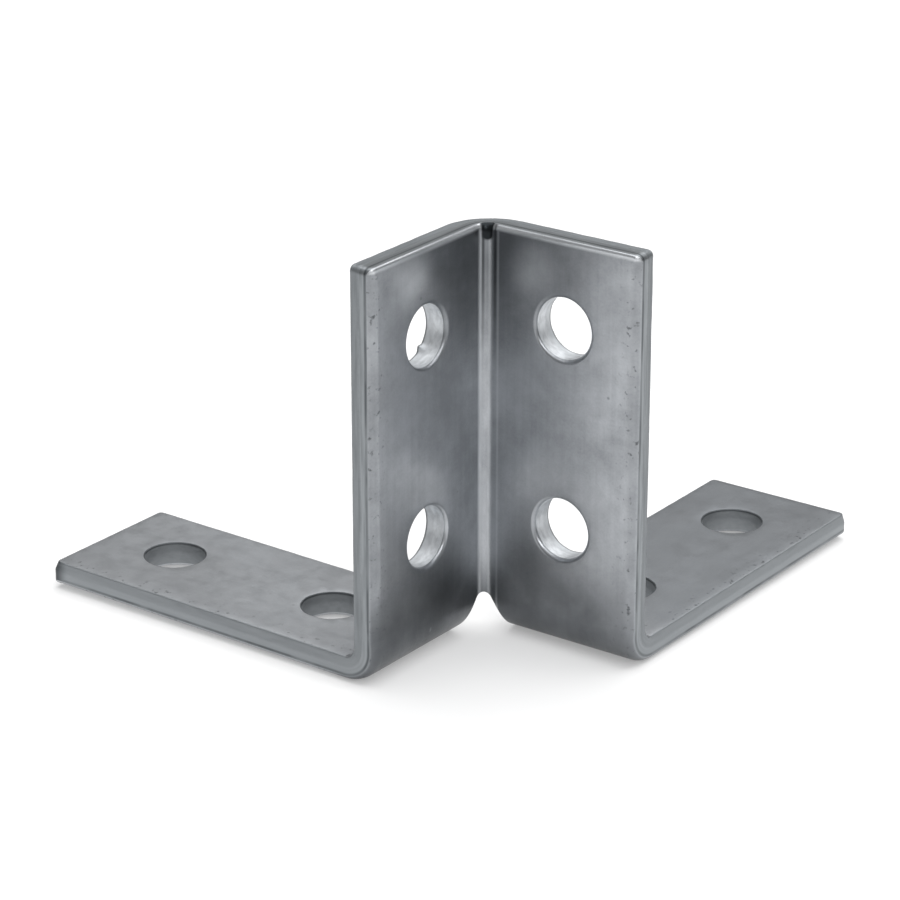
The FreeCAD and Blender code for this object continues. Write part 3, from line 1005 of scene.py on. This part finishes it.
@dataclass
class FoldedPlate:
    """The bracket itself: its blank with punched rims, folded, and its finishes."""

    sizes: PlateSizes
    name: str = "zinc_plated_plate"
    outline: PunchedRim = PunchedRim(land_end=3.4)
    bore: PunchedRim = PunchedRim(land_end=3.6, grain=0.03, land_wander=0.35, tumbled=0.3)
    # Width and depth of the roll: along the wings' sides, at their ends, round the relief and
    # round a hole.
    side_roll: tuple[float, float] = (2.7, 1.6)
    end_roll: tuple[float, float] = (0.65, 0.55)
    relief_roll: tuple[float, float] = (0.22, 0.25)
    bore_roll: tuple[float, float] = (0.95, 1.0)
    # What the fold's crowding adds to the roll along the top: near the corner, and in its dimple.
    shoulder_roll: tuple[float, float] = (0.75, 0.30)
    pinch_roll: tuple[float, float] = (0.9, 1.1)
    # Half width of the dimple, and how far its middle lies from the corner's.
    dimple: tuple[float, float] = (2.6, 1.2)
    # A burr left hanging in the left upright's upper hole: its angle round the hole and the half
    # angle that it spans, in degrees, and how far it stands out.
    hanging_burr: tuple[float, float, float] = (48.0, 6.0, 0.9)
    # How far the tear draws in: along the sides, at the top and in a hole.
    side_lean: float = 0.25
    top_lean: float = 0.05
    bore_lean: float = 0.08
    # The bolt holes' walls are mottled instead of banded. In the uprights they are paler than the
    # outline, and in the feet darker with painted shade.
    wall: PunchedZinc = PunchedZinc(
        name="electro_zinc_plated_punched_bore",
        land="#d8dbde",
        torn="#d0d3d6",
        pit="#c2c5c8",
        foot="#7c8083",
        land_roughness=0.55,
        torn_roughness=0.62,
        line_share=0.0,
        rim_share=0.75,
        band_depth_mm=0.01,
        tear_depth_mm=0.03,
        drawn_out=2.0,
    )
    # Share by which a bore's roll and its lean vary, and over how many points.
    roll_wander: tuple[float, float] = (0.10, 14.0)
    lean_wander: tuple[float, float] = (0.30, 12.0)
    # Where the relief's own roll ends: distance past the slot's side and above the feet's folds,
    # each with the distance over which it fades.
    relief_side: tuple[float, float] = (3.4, 1.4)
    relief_rise: tuple[float, float] = (4.0, 2.0)
    # Width of the crowded zone of the top edge, and how far an end's section reaches.
    shoulder_width: float = 20.0
    end_fade: float = 2.0
    bore_points: int = 112
    # Fine and coarse step of the faces' grid and of the outline's path.
    grid_steps: tuple[float, float] = (0.4, 3.0)
    path_steps: tuple[float, float] = (0.35, 0.8)
    # Distance to a rim's points inside which a face has no grid points.
    clearance: float = 0.45
    crease_degrees: float = 32.0
    seed: int = 41
    folds: Folds = field(init=False)
    face: RolledZinc = field(init=False)
    edge: PunchedZinc = field(init=False)

    def __post_init__(self) -> None:
        """Take the folds and the places of the face's pattern from the sizes."""
        s = self.sizes
        self.folds = Folds(s)
        self.face = RolledZinc(
            top_mm=s.top, fold_mm=s.fold, half_mm=s.half, side_mm=s.side, dimple_mm=self.dimple
        )
        self.edge = PunchedZinc(top_mm=s.top, end_mm=s.end)

    def outline_path(self) -> Array:
        """Go once round the punched outline, with the plate on the left.

        The right half is straight runs joined by arcs: the top, the free edge, the foot's end and
        its inner edge, then the round relief. The left half is its mirror image.

        Returns:
            The closed path (u, v).
        """
        s = self.sizes
        radius, drop = s.relief
        bend = (-0.5, s.fold + 0.5)
        r, j = s.leaf_corner, s.relief_corner
        lift = math.sqrt((radius + j) ** 2 - (s.half + j) ** 2)
        meet = math.degrees(math.atan2(lift, s.half + j))
        top = graded(0, s.side - r, (0, s.half + 4), self.path_steps)[:-1]
        free = graded(s.top + r, s.end - r, bend, self.path_steps)[1:-1]
        end = graded(s.half + r, s.side - r, (-9, -8), self.path_steps)[1:-1][::-1]
        inner = graded(drop + lift, s.end - r, bend, self.path_steps)[1:-1][::-1]
        half = np.concatenate(
            [
                np.stack([top, np.full_like(top, s.top)], axis=1),
                arc((s.side - r, s.top + r), r, -90, 0, 9),
                np.stack([np.full_like(free, s.side), free], axis=1),
                arc((s.side - r, s.end - r), r, 0, 90, 9),
                np.stack([end, np.full_like(end, s.end)], axis=1),
                arc((s.half + r, s.end - r), r, 90, 180, 9),
                np.stack([np.full_like(inner, s.half), inner], axis=1),
                arc((s.half + j, drop + lift), j, 180, 180 + meet, 7),
                arc((0.0, drop), radius, meet, -90, 48)[1:],
            ]
        )
        return np.concatenate([half, (half[::-1] * (-1, 1))[1:-1]])

    def outline_section(self, path: Array) -> tuple[tuple[Array, Array], Array]:
        """How the outline's section changes on its way round.

        A side's roll turns into an end's with the square of the normal's part across the plate. It
        is narrower round the relief and along the feet's inner edges, and deeper where the
        corner's fold crowds the top edge. The tear leans further at the feet's ends.

        Args:
            path: closed path (u, v).

        Returns:
            The roll's width and depth, and the lean of the tear, at each point.
        """
        s = self.sizes
        across, v = np.abs(path[:, 0]), path[:, 1]
        half_dimple, shift = self.dimple
        sideways = outward(path)[:, 0] ** 2
        (past, past_fade), (rise, rise_fade) = self.relief_side, self.relief_rise
        inner = np.clip((s.half + past - across) / past_fade, 0, 1)
        inner = inner * np.clip((v + rise) / rise_fade, 0, 1)
        on_top = v < s.top + self.end_fade / 2
        pinch = np.exp(-(((path[:, 0] - shift) / half_dimple) ** 4)) * on_top
        shoulder = np.exp(-((across / self.shoulder_width) ** 2)) * on_top
        rolls = []
        for side, end, relief, raised, crowd in zip(
            self.side_roll, self.end_roll, self.relief_roll, self.shoulder_roll, self.pinch_roll
        ):
            roll = end + (side - end) * sideways
            roll = roll + (relief - roll) * inner
            rolls.append(roll + raised * shoulder + crowd * pinch)
        ends = np.clip((v - s.end + self.end_fade) / self.end_fade, 0, 1)
        tops = np.clip((s.top + self.end_fade - v) / self.end_fade, 0, 1)
        lean = self.side_lean + (s.end_lean - self.side_lean) * ends
        return (rolls[0], rolls[1]), lean + (self.top_lean - lean) * tops

    def rims(self, rng: np.random.Generator) -> list[Array]:
        """Build the sections round the outline and the eight bolt holes.

        Args:
            rng: seeded source of the rims' roughness.

        Returns:
            Points (rows, path, 3) of each rim, in blank coordinates.
        """
        s = self.sizes
        path = self.outline_path()
        rolls, lean = self.outline_section(path)
        strip = self.outline.strip(path, rolls, lean, s.thickness, rng)
        # A fold's swell never reaches past the line that the punch cut.
        normal = outward(path)
        inset = ((path[None] - strip[..., :2]) * normal[None]).sum(axis=2)
        pull = np.maximum(self.folds.draw(strip), -inset)
        strip[..., :2] -= normal[None] * pull[..., None]
        rims = [strip]
        angles = np.linspace(360, 0, self.bore_points + 1)[:-1]
        middle, spread, reach = self.hanging_burr
        for number, (u, v) in enumerate(s.holes):
            # The plate stays on the left when the path goes round a hole clockwise.
            ring = arc((u, v), s.hole_radius, 360, 0, self.bore_points + 1)[:-1]
            share = 1 + self.roll_wander[0] * wander(rng, len(ring), self.roll_wander[1])
            lean = 1 + self.lean_wander[0] * wander(rng, len(ring), self.lean_wander[1])
            lean = self.bore_lean * lean
            if number == 0:
                lean = lean - reach * np.exp(-(((angles - middle) / spread) ** 2))
            rolls = (self.bore_roll[0] * share, self.bore_roll[1] * share)
            rims.append(self.bore.strip(ring, rolls, lean, s.thickness, rng))
        return rims

    def face_triangles(self, rings: list[Array], grid: Array) -> tuple[Array, Array]:
        """Fill one face of the plate between its rims.

        The face is a grid of points plus its rims' edge points, joined by the triangulation in
        which no point lies inside another triangle's circle, with the rims kept as edges.

        Args:
            rings: closed rings (u, v) that bound the face.
            grid: points inside the face.

        Returns:
            Triangles as indices into the rings' points followed by the grid's, and the mask of
            grid points that they use.
        """
        points = np.concatenate(rings)
        starts = np.concatenate([[0], np.cumsum([len(r) for r in rings])])
        edges = np.concatenate(
            [
                np.stack([a + np.arange(n), a + (np.arange(n) + 1) % n], axis=1)
                for a, n in zip(starts, (len(r) for r in rings))
            ]
        )
        gaps = np.stack(
            [
                np.hypot(grid[:, 0, None] - r[None, :, 0], grid[:, 1, None] - r[None, :, 1]).min(1)
                for r in rings
            ]
        ).min(0)
        kept = gaps > self.clearance
        flat = np.concatenate([points, grid[kept]])
        between_edges = 1
        _, _, faces, origin, _, _ = geometry.delaunay_2d_cdt(
            [Vector(p) for p in flat.tolist()], edges.tolist(), [], between_edges, 1e-6
        )
        triangles = np.array([o[0] for o in origin])[np.array(faces)]
        middles = flat[triangles].mean(axis=1)
        solid = inside(middles, rings[0]) & ~np.any([inside(middles, r) for r in rings[1:]], axis=0)
        triangles = triangles[solid]
        a, b, c = (flat[triangles[:, i]] for i in range(3))
        area = (b[:, 0] - a[:, 0]) * (c[:, 1] - a[:, 1]) - (b[:, 1] - a[:, 1]) * (c[:, 0] - a[:, 0])
        triangles[area < 0] = triangles[area < 0][:, ::-1]
        number = np.cumsum(kept) - 1
        used = np.zeros(len(grid), bool)
        inner = triangles[triangles >= len(points)] - len(points)
        used[np.flatnonzero(kept)[np.unique(inner)]] = True
        renumber = np.concatenate([np.arange(len(points)), np.zeros(kept.sum(), int)])
        renumber[len(points) + number[used]] = len(points) + np.arange(used.sum())
        return renumber[triangles], used

    def grid(self) -> Array:
        """Grid of points over the whole blank, close together in the folds.

        Returns:
            Points (u, v), one a row.
        """
        s = self.sizes
        half = graded(0, s.side, (0, s.half + s.easing + 1), self.grid_steps)
        u = np.concatenate([-half[:0:-1], half])
        v = graded(s.top, s.end, (-s.easing, s.fold + 0.5), self.grid_steps)
        across, down = np.meshgrid(u, v)
        return np.stack([across.ravel(), down.ravel()], axis=1)

    def build(self) -> bpy.types.Object:
        """Build the plate's mesh, fold it and dress it.

        Returns:
            The finished object.
        """
        rng = np.random.default_rng(self.seed)
        rims, grid = self.rims(rng), self.grid()
        rim_points = np.concatenate([r.reshape(-1, 3) for r in rims])
        starts = np.concatenate([[0], np.cumsum([r.shape[0] * r.shape[1] for r in rims])])
        blank, quads, triangles, kinds = [rim_points], [], [], []
        for number, (start, rim) in enumerate(zip(starts, rims)):
            rows, count = rim.shape[:2]
            i = start + np.arange(rows * count).reshape(rows, count)
            j = np.roll(i, -1, axis=1)
            quads.append(np.stack([i[:-1], j[:-1], j[1:], i[1:]], axis=2).reshape(-1, 4))
            # The rolled-over rows of a rim still have the face's finish.
            kind = Surface.PUNCHED_BORE if number else Surface.PUNCHED_EDGE
            row_kinds = np.full(rows - 1, kind.value, np.int32)
            row_kinds[: self.outline.roll_rows - 2] = Surface.ROLLED_FACE.value
            kinds.append(np.repeat(row_kinds, count))
        total = len(rim_points)
        for row, depth in ((0, 0.0), (-1, self.sizes.thickness)):
            rings = [r[row, :, :2] for r in rims]
            found, used = self.face_triangles(rings, grid)
            owner = np.concatenate(
                [
                    start + (r.shape[0] - 1 if row else 0) * r.shape[1] + np.arange(r.shape[1])
                    for start, r in zip(starts, rims)
                ]
            )
            owner = np.concatenate([owner, total + np.arange(used.sum())])
            found = owner[found]
            triangles.append(found if row else found[:, ::-1])
            blank.append(np.column_stack([grid[used], np.full(used.sum(), depth)]))
            total += used.sum()
        return self.dress(
            np.concatenate(blank),
            np.concatenate(quads),
            np.concatenate(triangles),
            np.concatenate(kinds),
        )

    def dress(
        self, blank: Array, quads: Array, triangles: Array, quad_kinds: Array
    ) -> bpy.types.Object:
        """Put the folded points into a mesh, with its finishes and its place in the blank.

        Args:
            blank: points in blank coordinates, in millimetres.
            quads: faces of the rims.
            triangles: faces of the two sides.
            quad_kinds: kind of surface of each face of the rims.

        Returns:
            The object, riding on the bracket's body and standing for its node.
        """
        mesh = bpy.data.meshes.new(self.name)
        mesh.from_pydata(self.folds.place(blank), [], quads.tolist() + triangles.tolist())
        finishes = {
            Surface.ROLLED_FACE: self.face,
            Surface.PUNCHED_EDGE: self.edge,
            Surface.PUNCHED_BORE: self.wall,
        }
        for surface in Surface:
            mesh.materials.append(finishes[surface].material())
        kinds = np.full(len(quads) + len(triangles), Surface.ROLLED_FACE.value, np.int32)
        kinds[: len(quads)] = quad_kinds
        mesh.polygons.foreach_set("material_index", kinds)
        attribute = mesh.attributes.new("blank", "FLOAT_VECTOR", "POINT")
        attribute.data.foreach_set("vector", (blank * MM).astype(np.float32).ravel())
        mesh.polygons.foreach_set("use_smooth", np.ones(len(kinds), bool))
        mesh.set_sharp_from_angle(angle=math.radians(self.crease_degrees))
        mesh.validate()
        mesh.update()
        piece = bpy.data.objects.new(self.name, mesh)
        bpy.context.scene.collection.objects.link(piece)
        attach(piece, "root")
        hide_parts("wing_bracket")
        return piece


@dataclass(frozen=True)
class Lamp:
    """A square soft lamp: where it stands, what it points at, its side and its power."""

    name: str
    place: tuple[float, float, float]
    side: float
    power: float
    target: tuple[float, float, float] = (0.0, 0.0, 0.05)

    def build(self) -> None:
        """Add the lamp to the scene."""
        data = bpy.data.lights.new(self.name, "AREA")
        data.shape = "SQUARE"
        data.size = self.side
        data.energy = self.power
        lamp = bpy.data.objects.new(self.name, data)
        lamp.location = self.place
        lamp.rotation_euler = (
            (Vector(self.target) - Vector(self.place)).to_track_quat("-Z", "Y").to_euler()
        )
        bpy.context.scene.collection.objects.link(lamp)


@dataclass
class Studio:
    """Pale floor, soft lamps and the camera of the photograph's view."""

    floor_side: float = 8.0
    # The floor lies a hair below the feet, so that they don't share a plane.
    floor_drop: float = 0.0002
    floor_colour: str = "#f6f6f6"
    # How much of its own white the floor shows to the camera.
    floor_share: float = 0.3
    sky_low: str = "#8c8c8c"
    sky_high: str = "#c4c4c4"
    # Height at which the sky has its upper colour, where overhead is 1.
    sky_full: float = 0.9
    lamps: tuple[Lamp, ...] = (
        Lamp("overhead_lamp", (0.08, 0.30, 1.50), 2.20, 32.0),
        Lamp("front_lamp", (0.95, -0.75, 0.95), 0.60, 5.0),
    )
    # The view was fitted to the photograph's edges and hole rims.
    azimuth: float = 36.22
    elevation: float = 21.71
    distance: float = 0.7719
    target: tuple[float, float, float] = (0.0177, -0.026744, 0.041739)
    focal_pixels: float = 3379.9
    image_pixels: float = 900.0
    sensor: float = 36.0
    clip: tuple[float, float] = (0.01, 50.0)

    def floor(self) -> bpy.types.Object:
        """Lay the floor: one flat sheet, white to the camera and to reflections, with its shadow.

        Returns:
            The floor.
        """
        edge = self.floor_side / 2
        across = np.array([-edge, edge, edge, -edge])
        along = np.array([-edge, -edge, edge, edge])
        corners = np.stack([across, along, np.full(4, -self.floor_drop)], axis=1)
        mesh = bpy.data.meshes.new("floor")
        mesh.from_pydata(corners.tolist(), [], [(0, 1, 2, 3)])
        mesh.materials.append(self.floor_finish())
        floor = bpy.data.objects.new("floor", mesh)
        bpy.context.scene.collection.objects.link(floor)
        return floor

    def floor_finish(self) -> bpy.types.Material:
        """Matt white paper, which rays of the camera, of a reflection and through glass see whiter.

        Returns:
            The material.
        """
        material, tree = empty_material("matt_white_paper")
        rays = add_node(tree, "LightPath", {})
        seen = rays["Is Camera Ray"]
        for ray in ("Is Glossy Ray", "Is Transmission Ray"):
            seen = add_node(tree, "Math", (seen, rays[ray]), MAXIMUM)[0]
        share = add_node(tree, "Math", (seen, self.floor_share), MULTIPLY)[0]
        matt = add_node(tree, "BsdfDiffuse", {"Color": linear(self.floor_colour)})[0]
        white = add_node(tree, "Emission", {"Color": linear("#ffffff"), "Strength": 1.0})[0]
        mixed = add_node(tree, "MixShader", (share, matt, white))[0]
        add_node(tree, "OutputMaterial", {"Surface": mixed})
        return material

    def sky(self) -> None:
        """Light the scene from all round, paler overhead than at the horizon."""
        world = bpy.data.worlds.new("studio")
        world.use_nodes = True
        tree = world.node_tree
        tree.nodes.clear()
        place = add_node(tree, "TexCoord", {})["Generated"]
        up = add_node(tree, "SeparateXYZ", (place,))["Z"]
        height = add_node(tree, "MapRange", (up, 0.0, self.sky_full, 0.0, 1.0), SMOOTH)[0]
        colour = {0: height, 6: linear(self.sky_low), 7: linear(self.sky_high)}
        colour = add_node(tree, "Mix", colour, COLOURS)[2]
        light = add_node(tree, "Background", {"Color": colour, "Strength": 1.0})[0]
        add_node(tree, "OutputWorld", {"Surface": light})
        bpy.context.scene.world = world

    def camera(self) -> None:
        """Stand the camera where the photograph was taken from."""
        data = bpy.data.cameras.new("camera")
        data.sensor_width = self.sensor
        data.lens = self.focal_pixels * self.sensor / self.image_pixels
        data.clip_start, data.clip_end = self.clip
        a, e = math.radians(self.azimuth), math.radians(self.elevation)
        back = Vector((math.sin(a) * math.cos(e), -math.cos(a) * math.cos(e), math.sin(e)))
        camera = bpy.data.objects.new("camera", data)
        camera.location = Vector(self.target) + back * self.distance
        camera.rotation_euler = (-back).to_track_quat("-Z", "Y").to_euler()
        bpy.context.scene.collection.objects.link(camera)
        bpy.context.scene.camera = camera

    def build(self) -> None:
        """Set up the floor, the light and the camera."""
        self.camera()
        self.floor()
        self.sky()
        for lamp in self.lamps:
            lamp.build()
        bpy.context.scene.view_settings.view_transform = "Standard"


def main() -> None:
    """Build the studio and the bracket, and report each."""
    logging.basicConfig(level=logging.INFO, format="%(message)s")
    Studio().build()
    LOG.info("studio: floor, sky, lamps and camera")
    low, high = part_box("wing_bracket")
    plate = FoldedPlate(PlateSizes.from_frame(frame["record"], low, high))
    piece = plate.build()
    LOG.info("%s: %d faces", piece.name, len(piece.data.polygons))


if __name__ == "__main__":
    main()
